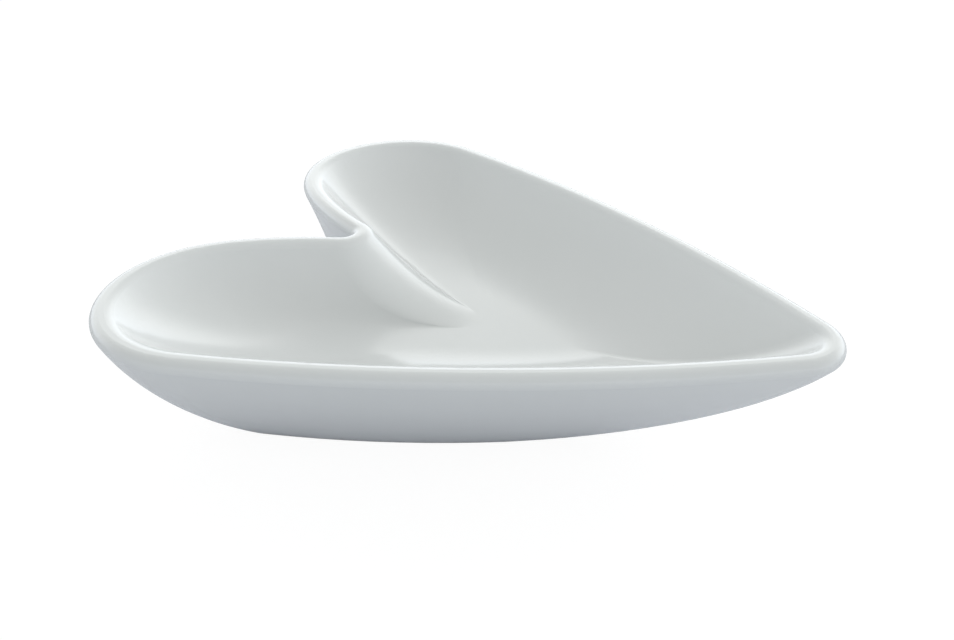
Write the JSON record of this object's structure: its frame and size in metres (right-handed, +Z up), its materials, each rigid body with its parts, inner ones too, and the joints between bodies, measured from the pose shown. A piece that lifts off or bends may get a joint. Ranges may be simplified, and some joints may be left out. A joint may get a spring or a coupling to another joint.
{
  "type": "heart-shaped trinket dish",
  "caption": "Shallow heart-shaped dish in white glazed porcelain with a rounded lip, for rings and small jewellery.",
  "frame": {"origin": "on the standing plane, in the middle of the dish's bounding box seen from above", "axes": "+Z up; +Y from the tip to the lobes; +X to the right lobe seen from above with the tip nearest; the dish is symmetric about X = 0"},
  "size_m": [0.0696, 0.0798, 0.0192],
  "materials": {
    "porcelain": "glossy white glaze"
  },
  "bodies": {
    "root": {"dish": "porcelain"}
  },
  "joints": []
}
